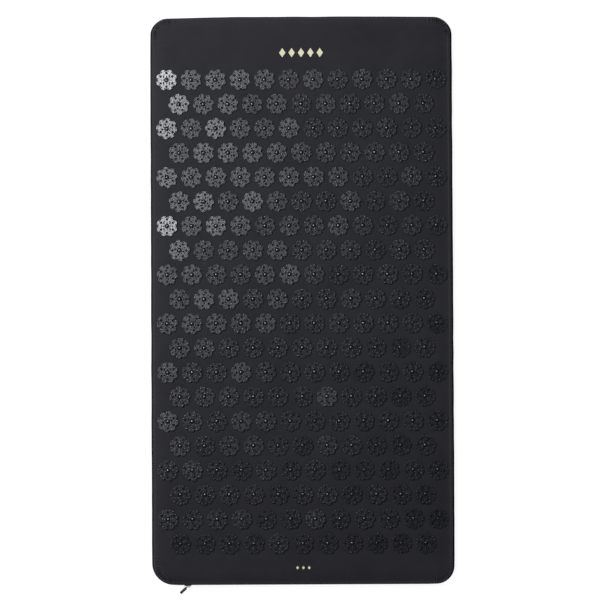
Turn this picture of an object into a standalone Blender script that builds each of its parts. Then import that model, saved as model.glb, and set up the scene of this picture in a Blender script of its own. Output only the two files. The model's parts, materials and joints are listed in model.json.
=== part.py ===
# Acupressure mat: a foam slab in a zipped cotton cover, with rows of spiked plastic discs on its face.
# Lengths are in metres. The mat lies on the floor plane, face up, with its head end towards +Y.

import bpy
import bmesh
from math import cos, pi, radians, sin
from mathutils import Matrix

# Driving dimensions of the mat
mat_width = 0.420
mat_length = 0.790
foam_thickness = 0.020
fabric_thickness = 0.001
head_corner_radius = 0.020
foot_left_corner_radius = 0.028
foot_right_corner_radius = 0.024

# Clearances
touch_gap = 0.0003
running_gap = 0.0003
cut_overrun = 0.002

# How the cover closes round the foam: the panels roll over its edges to a straight rim, and the seams
# are drawn in from the widest line of the side band, which bellies out between them
edge_radius = 0.004
rim_height = 0.001
seam_draw = 0.0015

# Spiked discs: long rows and rows with one disc less take turns down the mat, as many as it has room for
disc_diameter = 0.0295
disc_edge_draft = 0.0005
disc_plate_thickness = 0.0018
disc_weld_depth = 0.0004
spike_height = 0.0042
petal_count = 8
disc_gap = 0.0044
row_gap = 0.0043
head_to_first_row = 0.0894
foot_to_last_row = 0.0580
disc_side_margin = 0.0080
disc_turn = radians(137.5)

# Zip in the foot end: two tapes, two coils, stops, slider and pull. It ends short of both corners, and
# each of its layers ends short of the one outside it
zip_corner_margin = 0.034
tape_end_margin = 0.003
tape_thickness = 0.0005
coil_end_margin = 0.008
coil_width = 0.0016
coil_thickness = 0.0016
coil_part_gap = 0.0012
zip_mouth_height = 0.0066
coil_edge_round = 0.0004
stop_length = 0.0028
stop_edge_round = 0.0003

# Slider: it rests at the end of the coils where the zip is closed
slider_length = 0.0095
slider_plate_width = 0.0068
slider_face_thickness = 0.0010
slider_back_thickness = 0.0008
slider_flange_thickness = 0.0005
slider_flange_length = 0.0048
slider_post_length = 0.0030
bail_length = 0.0058
bail_width = 0.0016
bail_bar = 0.0007
bail_room = 0.0015

# Pull: a wire link through the bail, with a ribbed moulded grip on its far end
pull_angle = radians(42.0)
pull_reach = 0.0145
link_wire = 0.0008
link_width = 0.0032
link_corner_radius = 0.0006
grip_start = 0.0037
grip_width = 0.0052
grip_thickness = 0.0032
grip_waist_thickness = 0.0024
grip_segment_count = 4
grip_edge_round = 0.0003
grip_socket_depth = 0.0024

# Counts and lengths that follow
disc_pitch = disc_diameter + disc_gap
row_pitch = disc_diameter + row_gap
row_count = 1 + int((mat_length - head_to_first_row - foot_to_last_row) / row_pitch)
long_row_count = 1 + int((mat_width - disc_diameter - 2 * disc_side_margin) / disc_pitch)
zip_end_x = mat_width / 2 - zip_corner_margin
tape_length = 2 * (zip_end_x - tape_end_margin)
coil_length = tape_length - 2 * coil_end_margin
slider_rest_x = (slider_length - coil_length) / 2 + touch_gap

# Levels and planes that follow
foam_bottom_z = fabric_thickness + touch_gap
foam_top_z = foam_bottom_z + foam_thickness
face_z = foam_top_z + touch_gap + fabric_thickness
upper_seam_z = face_z - edge_radius - rim_height
lower_seam_z = edge_radius + rim_height
side_middle_z = (upper_seam_z + lower_seam_z) / 2
strip_face_y = -(mat_length / 2 - seam_draw)
tape_face_y = strip_face_y + fabric_thickness + touch_gap
tape_back_y = tape_face_y + tape_thickness
coil_back_y = tape_face_y - touch_gap
coil_face_y = coil_back_y - coil_thickness
slider_inner_face_y = coil_face_y - running_gap
slider_face_y = slider_inner_face_y - slider_face_thickness
slider_back_inner_y = tape_back_y + running_gap
slider_back_y = slider_back_inner_y + slider_back_thickness
pull_axis_y = slider_face_y - bail_room / 2
foam_foot_inset = mat_length / 2 + slider_back_y + running_gap

# Slider plate outline along the zip and across it, as shares of its length and width: two shoulders
# and a narrower nose and tail
plate_outline_shares = (
    (-0.50, 0.34), (-0.28, 0.50), (0.14, 0.50), (0.50, 0.34),
    (0.50, -0.34), (0.14, -0.50), (-0.28, -0.50), (-0.50, -0.34),
)

# How one swell of the pull's grip rises and falls along its own length
grip_swell_shares = (0.25, 0.75)

# How round a bevel is: halfway between a straight chamfer and a square edge is a quarter circle
round_profile_share = 0.5

# How finely curves are stepped
corner_steps = 5
roll_steps = 3
ease_steps = 2
belly_steps = 4
link_turn_steps = 2


# Scene and collections

for old in list(bpy.data.objects):
    bpy.data.objects.remove(old)

mat_parts = bpy.data.collections.new("acupressure_mat")
bpy.context.scene.collection.children.link(mat_parts)
cutters = bpy.data.collections.new("cutters")
bpy.context.scene.collection.children.link(cutters)


# Small helpers

def finish(name, colour, roughness, metallic=0.0):
    """A plain finish: its colour, how rough it is and whether it is metal."""
    material = bpy.data.materials.new(name)
    material.use_nodes = True
    shader = material.node_tree.nodes["Principled BSDF"]
    shader.inputs["Base Color"].default_value = (*colour, 1.0)
    shader.inputs["Roughness"].default_value = roughness
    shader.inputs["Metallic"].default_value = metallic
    material.diffuse_color = (*colour, 1.0)
    return material


def add_object(name, mesh, material=None, parent=None):
    """Put a mesh into the mat as a named piece."""
    piece = bpy.data.objects.new(name, mesh)
    mat_parts.objects.link(piece)
    if material:
        mesh.materials.append(material)
    piece.parent = parent
    return piece


def add_cutter(name, mesh):
    """Put a mesh into the collection of shapes that only cut or join others."""
    cutter = bpy.data.objects.new(name, mesh)
    cutters.objects.link(cutter)
    cutter.hide_render = True
    cutter.display_type = "WIRE"
    return cutter


def mesh_from(bm, name):
    """Turn a finished bmesh into a mesh and free it."""
    mesh = bpy.data.meshes.new(name)
    bm.to_mesh(mesh)
    bm.free()
    return mesh


def box(bm, low, high):
    """Add a box between two opposite corners."""
    size = [b - a for a, b in zip(low, high)]
    middle = [(a + b) / 2 for a, b in zip(low, high)]
    place = Matrix.Translation(middle) @ Matrix.Diagonal((*size, 1.0))
    bmesh.ops.create_cube(bm, size=1.0, matrix=place)


def box_piece(name, low, high, material, edge_round=0.0):
    """A box between two opposite corners, with its edges broken by a small bevel."""
    bm = bmesh.new()
    box(bm, low, high)
    piece = add_object(name, mesh_from(bm, name), material)
    if edge_round:
        round_edges(piece, edge_round)
    return piece


def round_edges(piece, width, segments=1):
    """Break the sharp edges of a piece."""
    bevel = piece.modifiers.new("rounded_edges", "BEVEL")
    bevel.width = width
    bevel.segments = segments
    bevel.limit_method = "ANGLE"
    bevel.angle_limit = radians(40.0)
    bevel.use_clamp_overlap = True


def boolean(piece, tool, operation):
    """Join or cut a piece with a tool shape."""
    change = piece.modifiers.new(tool.name, "BOOLEAN")
    change.operation = operation
    change.object = tool
    change.solver = "EXACT"


def box_tool(name, low, high, parent=None):
    """A box between two opposite corners, kept as a tool shape."""
    bm = bmesh.new()
    box(bm, low, high)
    tool = add_cutter(name, mesh_from(bm, name))
    tool.parent = parent
    return tool


def raise_outline(bm, points, lift):
    """Extrude an outline by a lift into a closed prism, and give back the raised points."""
    sheet = bm.faces.new([bm.verts.new(point) for point in points])
    raised = bmesh.ops.extrude_face_region(bm, geom=[sheet])["geom"]
    moved = [part for part in raised if isinstance(part, bmesh.types.BMVert)]
    bmesh.ops.translate(bm, verts=moved, vec=lift)
    bmesh.ops.recalc_face_normals(bm, faces=bm.faces)
    return moved


def thicken(piece):
    """Give an open sheet the fabric's thickness on its inner side."""
    fabric = piece.modifiers.new("fabric", "SOLIDIFY")
    fabric.thickness = fabric_thickness
    fabric.offset = -1.0
    fabric.use_even_offset = True


def outline(inset, foot_inset=None):
    """The mat's outline seen from above, drawn in by an inset, counterclockwise from the right side."""
    if foot_inset is None:
        foot_inset = inset
    right = mat_width / 2 - inset
    head = mat_length / 2 - inset
    foot = mat_length / 2 - foot_inset
    corners = (
        (right, head, head_corner_radius),
        (-right, head, head_corner_radius),
        (-right, -foot, foot_left_corner_radius),
        (right, -foot, foot_right_corner_radius),
    )
    points = []
    for quarter, (x, y, radius) in enumerate(corners):
        bend = radius - inset
        middle_x = x - bend if x > 0 else x + bend
        middle_y = y - bend if y > 0 else y + bend
        for step in range(corner_steps + 1):
            angle = (quarter + step / corner_steps) * pi / 2
            points.append((middle_x + bend * cos(angle), middle_y + bend * sin(angle)))
    return points


# Finishes

canvas_finish = finish("charcoal_cotton_canvas", (0.028, 0.027, 0.032), 0.92)
foam_finish = finish("grey_foam", (0.18, 0.18, 0.19), 0.95)
face_finish = finish("black_canvas_and_discs", (0.020, 0.020, 0.022), 0.35)
tape_finish = finish("black_zip_tape", (0.015, 0.015, 0.016), 0.85)
coil_finish = finish("black_nylon_coil", (0.012, 0.012, 0.013), 0.45)
steel_finish = finish("dark_plated_zinc", (0.08, 0.08, 0.085), 0.35, 0.9)
grip_finish = finish("dark_moulded_grip", (0.03, 0.03, 0.033), 0.5)


# Foam core: a slab whose edges are eased where the panels roll over them

def make_foam():
    inset = seam_draw + fabric_thickness + touch_gap
    bm = bmesh.new()
    floor = [(x, y, foam_bottom_z) for x, y in outline(inset, foam_foot_inset)]
    raise_outline(bm, floor, (0, 0, foam_thickness))
    foam = add_object("foam_core", mesh_from(bm, "foam_core"), foam_finish)
    round_edges(foam, edge_radius - fabric_thickness - touch_gap, segments=ease_steps)


# Cover panels: sheets whose edges roll over the foam to a straight rim at the seam

def rolled_panel(name, seam_z, flat_z, material):
    """Raise the outline to its flat level, round that rim, leave the seam side open, thicken inwards."""
    bm = bmesh.new()
    seam = [(x, y, seam_z) for x, y in outline(seam_draw)]
    flat_verts = raise_outline(bm, seam, (0, 0, flat_z - seam_z))
    open_side = [face for face in bm.faces if not any(vert in flat_verts for vert in face.verts)]
    bmesh.ops.delete(bm, geom=open_side, context="FACES_ONLY")
    flat_rim = [edge for edge in bm.edges if all(vert in flat_verts for vert in edge.verts)]
    bmesh.ops.bevel(
        bm, geom=flat_rim, offset=edge_radius, segments=roll_steps, profile=round_profile_share,
        affect="EDGES")
    flat = max(bm.faces, key=lambda face: face.calc_area())
    for face in bm.faces:
        face.smooth = face is not flat
    panel = add_object(name, mesh_from(bm, name), material)
    thicken(panel)
    return panel


# Spiked discs: an eight-sided plate whose top is parted into petals, each drawn up to a point

def add_disc(bm, x, y, turn):
    height = disc_weld_depth + disc_plate_thickness
    place = Matrix.Translation((x, y, face_z - disc_weld_depth + height / 2)) @ Matrix.Rotation(turn, 4, "Z")
    made = bmesh.ops.create_cone(
        bm, cap_ends=True, segments=petal_count, radius1=disc_diameter / 2,
        radius2=disc_diameter / 2 - disc_edge_draft, depth=height, matrix=place)["verts"]
    bm.faces.ensure_lookup_table()
    upper = {vert for vert in made if vert.co.z > face_z}
    top = [face for face in bm.faces[-petal_count - 2:] if set(face.verts) == upper]
    petals = bmesh.ops.poke(bm, faces=top, offset=0, center_mode="MEAN")["faces"]
    bm.normal_update()
    bmesh.ops.poke(bm, faces=petals, offset=spike_height, center_mode="MEAN")


def make_disc_field():
    """All discs as one tool shape, each turned by its own amount, sunk a little into the fabric."""
    bm = bmesh.new()
    for row in range(row_count):
        in_row = long_row_count - row % 2
        y = mat_length / 2 - head_to_first_row - row * row_pitch
        for place in range(in_row):
            x = (place - (in_row - 1) / 2) * disc_pitch
            add_disc(bm, x, y, (row * long_row_count + place) * disc_turn)
    return add_cutter("disc_field", mesh_from(bm, "disc_field"))


# Side band: one strip round the head and both long sides, ending beside the zip

def make_side_band():
    """Loft the band between its two seams, bellied out, and thicken it inwards."""
    low = lower_seam_z + touch_gap
    high = upper_seam_z - touch_gap
    foot_right = 3 * (corner_steps + 1)
    bm = bmesh.new()
    rows = []
    for level in range(belly_steps + 1):
        share = level / belly_steps
        inset = seam_draw * (1 - sin(share * pi))
        ring = outline(inset)
        foot_y = ring[foot_right][1]
        path = [(zip_end_x, foot_y)] + ring[foot_right:] + ring[:foot_right] + [(-zip_end_x, foot_y)]
        z = low + share * (high - low)
        rows.append([bm.verts.new((x, y, z)) for x, y in path])
    for lower, upper in zip(rows, rows[1:]):
        for step in range(len(lower) - 1):
            bm.faces.new((lower[step], lower[step + 1], upper[step + 1], upper[step]))
    for face in bm.faces:
        face.smooth = True
    band = add_object("side_band", mesh_from(bm, "side_band"), canvas_finish)
    thicken(band)


# Zip: strips, tapes, coils and stops, above and below the middle of the foot end

def make_zip_side(side, word):
    """The strip, tape, coil and end stop on one side of the zip: side is 1 above it and -1 below."""
    def span(near, far):
        """Two heights on this side of the zip's middle line, the lower one first."""
        return sorted((side_middle_z + side * near, side_middle_z + side * far))

    seam_reach = (upper_seam_z - lower_seam_z) / 2 - touch_gap
    strip_end = zip_end_x - touch_gap
    low, high = span(zip_mouth_height / 2, seam_reach)
    box_piece(
        "zip_strip_" + word, (-strip_end, strip_face_y, low),
        (strip_end, strip_face_y + fabric_thickness, high), canvas_finish)

    low, high = span(coil_part_gap / 2, seam_reach - touch_gap)
    box_piece(
        "zip_tape_" + word, (-tape_length / 2, tape_face_y, low),
        (tape_length / 2, tape_back_y, high), tape_finish)

    low, high = span(coil_part_gap / 2, coil_part_gap / 2 + coil_width)
    box_piece(
        "zip_coil_" + word, (-coil_length / 2, coil_face_y, low),
        (coil_length / 2, coil_back_y, high), coil_finish, coil_edge_round)

    stop_start = -coil_length / 2 - touch_gap
    box_piece(
        "zip_top_stop_" + word, (stop_start - stop_length, coil_face_y, low),
        (stop_start, coil_back_y, high), steel_finish, stop_edge_round)


def make_bottom_stop():
    """One clip across both coils at the far end of the zip."""
    reach = coil_part_gap / 2 + coil_width
    start = coil_length / 2 + touch_gap
    box_piece(
        "zip_bottom_stop", (start, coil_face_y, side_middle_z - reach),
        (start + stop_length, coil_back_y, side_middle_z + reach), steel_finish, stop_edge_round)


# Slider: a face and a back joined by a post, with flanges that hold the coils and a bail for the pull

def plate_mesh(name, face_y, back_y):
    """One plate of the slider, standing in the foot end's plane between two depths."""
    points = [
        (along * slider_length, face_y, across * slider_plate_width)
        for along, across in plate_outline_shares
    ]
    bm = bmesh.new()
    raise_outline(bm, points, (0, back_y - face_y, 0))
    return mesh_from(bm, name)


def make_slider(frame):
    """Everything is drawn round the pull's axis, which is the origin of the slider's frame."""
    face_y = slider_face_y - pull_axis_y
    inner_face_y = slider_inner_face_y - pull_axis_y
    back_inner_y = slider_back_inner_y - pull_axis_y
    back_y = slider_back_y - pull_axis_y
    flange_y = coil_back_y - pull_axis_y
    join_depth = slider_back_thickness / 2

    slider = add_object("zip_slider", plate_mesh("zip_slider", face_y, inner_face_y), steel_finish, frame)
    back = add_cutter("slider_back", plate_mesh("slider_back", back_inner_y, back_y))
    back.parent = frame

    post_start = -slider_length / 2
    post_half = coil_part_gap / 2 - running_gap
    post = box_tool(
        "slider_post", (post_start, inner_face_y - join_depth, -post_half),
        (post_start + slider_post_length, back_inner_y + join_depth, post_half), frame)

    flange_near = coil_part_gap / 2 + coil_width + running_gap
    flange_far = flange_near + slider_flange_thickness
    flange_half = slider_flange_length / 2
    upper_flange = box_tool(
        "slider_flange_upper", (-flange_half, inner_face_y - join_depth, flange_near),
        (flange_half, flange_y, flange_far), frame)
    lower_flange = box_tool(
        "slider_flange_lower", (-flange_half, inner_face_y - join_depth, -flange_far),
        (flange_half, flange_y, -flange_near), frame)

    bail_half = bail_length / 2
    bail = box_tool(
        "slider_bail", (-bail_half, face_y - bail_room - bail_bar, -bail_width / 2),
        (bail_half, face_y + join_depth, bail_width / 2), frame)
    window_half = bail_half - bail_bar
    window = box_tool(
        "bail_window", (-window_half, face_y - bail_room, -bail_width / 2 - cut_overrun),
        (window_half, face_y, bail_width / 2 + cut_overrun), frame)

    for tool in (back, post, upper_flange, lower_flange, bail):
        boolean(slider, tool, "UNION")
    boolean(slider, window, "DIFFERENCE")


# Pull: drawn along its own X, which points from the hinge axis to the tip

def link_route():
    """The wire's middle line along the pull and across it, its four corners rounded."""
    bend = link_corner_radius
    near = bend
    far = grip_start + grip_socket_depth - link_wire - bend
    side = link_width / 2 - bend
    points = []
    for quarter, (x, z) in enumerate(((far, side), (near, side), (near, -side), (far, -side))):
        for step in range(link_turn_steps + 1):
            angle = (quarter + step / link_turn_steps) * pi / 2
            points.append((x + bend * cos(angle), z + bend * sin(angle)))
    return points


def make_link(frame):
    """A closed wire loop: one bar lies in the bail on the hinge axis, the other in the grip's socket."""
    points = link_route()
    curve = bpy.data.curves.new("zip_pull_link", "CURVE")
    curve.dimensions = "3D"
    curve.bevel_depth = link_wire / 2
    curve.bevel_resolution = 2
    spline = curve.splines.new("POLY")
    spline.points.add(len(points) - 1)
    for point, (x, z) in zip(spline.points, points):
        point.co = (x, 0, z, 1)
    spline.use_cyclic_u = True
    curve.materials.append(steel_finish)
    link = bpy.data.objects.new("zip_pull_link", curve)
    mat_parts.objects.link(link)
    link.parent = frame


def grip_side():
    """Half of the grip's outline, from the hinge end to the tip: one swell for each segment."""
    pitch = (pull_reach - grip_start) / grip_segment_count
    side = []
    for segment in range(grip_segment_count):
        start = grip_start + segment * pitch
        side.append((start, grip_waist_thickness / 2))
        side += [(start + pitch * share, grip_thickness / 2) for share in grip_swell_shares]
    side.append((pull_reach, grip_waist_thickness / 2))
    return side


def make_grip(frame):
    """The grip's outline raised across the pull, with a socket in its near end for the link."""
    side = grip_side()
    points = [(x, y, -grip_width / 2) for x, y in side]
    points += [(x, -y, -grip_width / 2) for x, y in reversed(side)]
    bm = bmesh.new()
    raise_outline(bm, points, (0, 0, grip_width))
    grip = add_object("zip_pull_grip", mesh_from(bm, "zip_pull_grip"), grip_finish, frame)
    round_edges(grip, grip_edge_round)

    room = link_wire / 2 + touch_gap
    socket = box_tool(
        "grip_socket", (grip_start - cut_overrun, -room, -link_width / 2 - room),
        (grip_start + grip_socket_depth - link_wire + room, room, link_width / 2 + room), frame)
    boolean(grip, socket, "DIFFERENCE")


# The mat put together

make_foam()
rolled_panel("cover_bottom_panel", lower_seam_z, 0, canvas_finish)
spiked_panel = rolled_panel("cover_spiked_panel", upper_seam_z, face_z, face_finish)
boolean(spiked_panel, make_disc_field(), "UNION")
make_side_band()
make_zip_side(1, "upper")
make_zip_side(-1, "lower")
make_bottom_stop()

slider_frame = add_object("slider_frame", None)
slider_frame.location = (slider_rest_x, pull_axis_y, side_middle_z)
make_slider(slider_frame)

pull_frame = add_object("pull_frame", None, parent=slider_frame)
pull_frame.rotation_euler = (0, 0, pi + pull_angle)
make_link(pull_frame)
make_grip(pull_frame)
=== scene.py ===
# %% [markdown]
# # Acupressure mat
#
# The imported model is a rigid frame: a foam slab in a cover, a field of spiked discs, and a zip with its
# slider and pull. This script dresses that frame. Each soft solid is replaced by a sewn piece of the same
# size, the discs get their petals, holes and points, and every surface gets the finish of its material.
# The frame comes first, because every piece takes its place and its size from the model's own boxes.

# %% Load the frame
import json
import random
from math import atan2, cos, hypot, pi, radians, sin

import bmesh
import bpy
from mathutils import Matrix, Vector, noise


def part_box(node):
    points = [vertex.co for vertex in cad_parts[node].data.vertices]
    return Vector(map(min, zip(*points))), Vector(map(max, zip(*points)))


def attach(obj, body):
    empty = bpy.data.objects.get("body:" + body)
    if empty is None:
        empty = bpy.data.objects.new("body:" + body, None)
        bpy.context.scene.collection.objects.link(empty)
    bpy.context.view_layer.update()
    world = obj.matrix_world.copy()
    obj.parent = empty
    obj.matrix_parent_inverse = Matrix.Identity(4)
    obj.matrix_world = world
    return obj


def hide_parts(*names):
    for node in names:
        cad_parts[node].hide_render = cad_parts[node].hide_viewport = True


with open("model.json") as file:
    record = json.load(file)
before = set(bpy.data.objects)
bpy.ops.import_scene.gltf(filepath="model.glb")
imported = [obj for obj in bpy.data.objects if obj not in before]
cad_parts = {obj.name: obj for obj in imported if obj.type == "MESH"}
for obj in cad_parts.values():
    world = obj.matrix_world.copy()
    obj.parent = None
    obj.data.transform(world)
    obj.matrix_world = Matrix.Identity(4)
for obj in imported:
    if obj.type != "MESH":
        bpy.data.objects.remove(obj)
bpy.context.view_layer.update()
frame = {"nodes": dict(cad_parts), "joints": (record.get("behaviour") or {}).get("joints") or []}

print("nodes:", len(frame["nodes"]))

# %% [markdown]
# ## Measures
#
# The side band gives the mat's widest outline and the height of its middle, and the foam gives the
# level of the face. Sizes that the frame can't tell, such as the discs' spacing, are written here in
# millimetres, and every later place is worked out from these few numbers.

# %% Measures
MM = 0.001

band_low, band_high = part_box("side_band")
foam_low, foam_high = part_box("foam_core")
half_width = band_high[0]
half_length = band_high[1]

fabric_thickness = 1.0 * MM
touch_gap = 0.3 * MM
face_z = foam_high[2] + touch_gap + fabric_thickness
side_middle_z = (band_high[2] + band_low[2]) / 2

head_left_corner_radius = 23 * MM
head_right_corner_radius = 25 * MM
foot_left_corner_radius = 29 * MM
foot_right_corner_radius = 24 * MM

disc_diameter = 29.5 * MM
gap_in_row = 4.4 * MM
gap_between_rows = 4.3 * MM
disc_pitch = disc_diameter + gap_in_row
row_pitch = disc_diameter + gap_between_rows
head_to_first_row = 89.4 * MM
row_count = 20
long_row_count = 12

print(f"mat {2 * half_width:.3f} by {2 * half_length:.3f} m, face at {face_z * 1000:.1f} mm")

# %% [markdown]
# ## Camera
#
# The picture looks straight down on the mat from far away with a long lens, so that the sides don't show
# and hardly anything grows towards the edges of the frame. The mat lies a fraction of a degree off
# square, and its foot end comes out a little larger than its head end: a camera that stands slightly
# towards the foot gives both. The lens follows from the width that the frame spans at the face.

# %% Camera
frame_span = 830.5 * MM
camera_height = 3.0
camera_lean = radians(1.0)
camera_turn = radians(-0.27)
frame_middle_x = -3.2 * MM
frame_middle_y = -0.2 * MM

camera_data = bpy.data.cameras.new("camera")
camera_data.sensor_width = 36.0
camera_data.lens = camera_data.sensor_width * camera_height / frame_span
camera = bpy.data.objects.new("camera", camera_data)
bpy.context.scene.collection.objects.link(camera)
camera.rotation_euler = (camera_lean, 0, camera_turn)
camera.location = (
    frame_middle_x,
    frame_middle_y - camera_height * sin(camera_lean),
    face_z + camera_height * cos(camera_lean),
)
bpy.context.scene.camera = camera
bpy.context.scene.view_settings.view_transform = "Standard"
print(f"lens {camera_data.lens:.0f} mm at {camera_height:.1f} m")

# %% [markdown]
# ## Nodes and colours
#
# Every finish below is a small tree of nodes. One function turns a colour as it is picked on a screen
# into the linear values that light works with. One fills a node's inputs with values or with links, and
# one adds a node, changes its settings and fills it.

# %% Node and colour helpers
def linear(hex_colour):
    """Turn a screen colour such as #2e2d31 into linear red, green, blue and a full alpha."""
    shares = [int(hex_colour[start:start + 2], 16) / 255 for start in (1, 3, 5)]
    values = [share / 12.92 if share <= 0.04045 else ((share + 0.055) / 1.055) ** 2.4 for share in shares]
    return (*values, 1.0)


def fill(tree, node, inputs):
    """Fill inputs with values or links. A node that is given as a value links its first output."""
    for socket, value in inputs.items():
        if isinstance(value, bpy.types.Node):
            value = next(output for output in value.outputs if output.enabled)
        if isinstance(value, bpy.types.NodeSocket):
            tree.links.new(value, node.inputs[socket])
        else:
            node.inputs[socket].default_value = value


def add_node(tree, kind, inputs=None, **settings):
    """Add a node to a tree, change its settings, and fill its inputs."""
    added = tree.nodes.new("ShaderNode" + kind)
    for name, value in settings.items():
        setattr(added, name, value)
    fill(tree, added, inputs or {})
    return added


def start_material(name):
    """Start a material: its tree, its shader, and the coordinates of the object that wears it."""
    material = bpy.data.materials.new(name)
    material.use_nodes = True
    tree = material.node_tree
    place = add_node(tree, "TexCoord").outputs["Object"]
    return material, tree, tree.nodes["Principled BSDF"], place


print("charcoal in linear light:", [round(value, 3) for value in linear("#2e2d31")])

# %% [markdown]
# ## Light and floor
#
# One large soft lamp hangs beyond the mat's upper left corner, and the room round it is dim. Matt canvas
# shows how much light falls on it, but black plastic shows only what it mirrors. The place of the lamp
# therefore decides which discs shine: those of the upper left corner mirror its edge into the lens, and
# the others mirror the dark ceiling and stay black. The sides that face away from the lamp stay dark as
# well. The floor is pale and looks white to the camera, and it still catches the mat's shadow.

# %% Light and floor
lamp_size = 0.84
lamp_power = 46.0
lamp_place = Vector((-0.88, 0.58, 1.92))
wall_light = 0.34
ceiling_light = 0.1
wall_top = 0.25
ceiling_rim = 0.62
floor_size = 12
floor_gap = 0.05 * MM
floor_glow = 0.94

lamp_data = bpy.data.lights.new("soft_lamp", "AREA")
lamp_data.shape = "SQUARE"
lamp_data.size = lamp_size
lamp_data.energy = lamp_power
lamp_data.color = linear("#f6faff")[:3]
lamp = bpy.data.objects.new("soft_lamp", lamp_data)
bpy.context.scene.collection.objects.link(lamp)
lamp.location = lamp_place
lamp.rotation_euler = (-lamp_place).to_track_quat("-Z", "Y").to_euler()
lamp.visible_camera = False

world = bpy.data.worlds.new("white_room")
world.use_nodes = True
bpy.context.scene.world = world
room = world.node_tree
room_direction = add_node(room, "TexCoord").outputs["Generated"]
room_height = add_node(room, "SeparateXYZ", {"Vector": room_direction}).outputs["Z"]
room_level = add_node(
    room, "MapRange",
    {"Value": room_height, "From Min": wall_top, "From Max": ceiling_rim, "To Min": wall_light,
     "To Max": ceiling_light}, interpolation_type="SMOOTHSTEP")
seen_by_lens = add_node(room, "LightPath").outputs["Is Camera Ray"]
seen_level = add_node(room, "Mix", {"Factor": seen_by_lens, "A": room_level, "B": 1.0})
fill(room, room.nodes["Background"], {"Color": linear("#ffffff"), "Strength": seen_level})

floor_material, tree, shader = start_material("pale_floor")[:3]
rays = add_node(tree, "LightPath").outputs
seen = rays["Is Camera Ray"]
for ray in ("Is Glossy Ray", "Is Transmission Ray"):
    seen = add_node(tree, "Math", {0: seen, 1: rays[ray]}, operation="MAXIMUM")
glow = add_node(tree, "Math", {0: seen, 1: floor_glow}, operation="MULTIPLY")
fill(tree, shader, {
    "Base Color": linear("#787878"), "Roughness": 0.9, "Emission Color": linear("#ffffff"),
    "Emission Strength": glow})

bpy.ops.mesh.primitive_plane_add(size=floor_size, location=(0, 0, -floor_gap))
floor = bpy.context.object
floor.name = "floor"
floor.data.materials.append(floor_material)
print("lamp", lamp_power, "W at", tuple(lamp_place))

# %% [markdown]
# ## Canvas
#
# The cover is plain-woven cotton canvas, dyed charcoal: two sets of threads half a millimetre apart that
# pass over and under each other. It is matt, but tightly spun cotton has a broad soft shine, which makes
# the cloth lighter where it turns towards the lamp, and a faint haze of fibres at a low angle. The weave
# is the product of two fine bands, one along each set of threads, broken by slubs, which are the thicker
# stretches of hand-spun yarn. From the picture's distance it is far below one pixel, so its
# relief stays shallow and only the slow drift of the dye shows.

# %% Canvas
thread_spacing = 0.55 * MM
weave_relief = 0.12 * MM
slub_length = 9 * MM
slub_share = 0.4
dye_patch = 60 * MM


def weave_height(tree, place, spacing):
    """Two crossed sets of threads as one height, from 0 between threads to 1 on top of them."""
    threads = []
    for direction in ("X", "Y"):
        band = add_node(
            tree, "TexWave", {"Vector": place, "Scale": pi / 10 / spacing, "Distortion": 0.6, "Detail": 1.0},
            bands_direction=direction)
        threads.append(band.outputs["Fac"])
    return add_node(tree, "Math", {0: threads[0], 1: threads[1]}, operation="MULTIPLY")


def dye_drift(tree, place, dark, light):
    """Two close shades of one dye, mixed in large soft patches and in fine slubs."""
    patches = add_node(tree, "TexNoise", {"Vector": place, "Scale": 1 / dye_patch, "Detail": 3.0})
    slubs = add_node(tree, "TexNoise", {"Vector": place, "Scale": 1 / slub_length, "Detail": 6.0})
    both = add_node(tree, "Mix", {"Factor": slub_share, "A": patches, "B": slubs})
    shade = add_node(tree, "MapRange", {"Value": both, "From Min": 0.35, "From Max": 0.65})
    return add_node(
        tree, "Mix", {"Factor": shade, "A": linear(dark), "B": linear(light)}, data_type="RGBA")


def canvas_surface(tree, shader, place, colour, shine, haze):
    """The cloth's colour, its weave, the shine that pressing gives it, and the haze of its fibres."""
    relief = add_node(
        tree, "Bump",
        {"Height": weave_height(tree, place, thread_spacing), "Distance": weave_relief, "Strength": 0.5})
    fill(tree, shader, {
        "Base Color": colour, "Roughness": 0.62, "Specular IOR Level": shine, "Sheen Weight": haze,
        "Sheen Roughness": 0.5, "Normal": relief})


# The plain canvas of the side band, the underside and the zip strips is dyed a shade lighter than the face's
# cloth: painted fill light for the sides that the lamp doesn't reach.
canvas, tree, shader, place = start_material("charcoal_cotton_canvas")
canvas_surface(tree, shader, place, dye_drift(tree, place, "#26252a", "#2e2d32"), 0.0, 0.02)
print("canvas threads every", thread_spacing * 1000, "mm")
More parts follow.
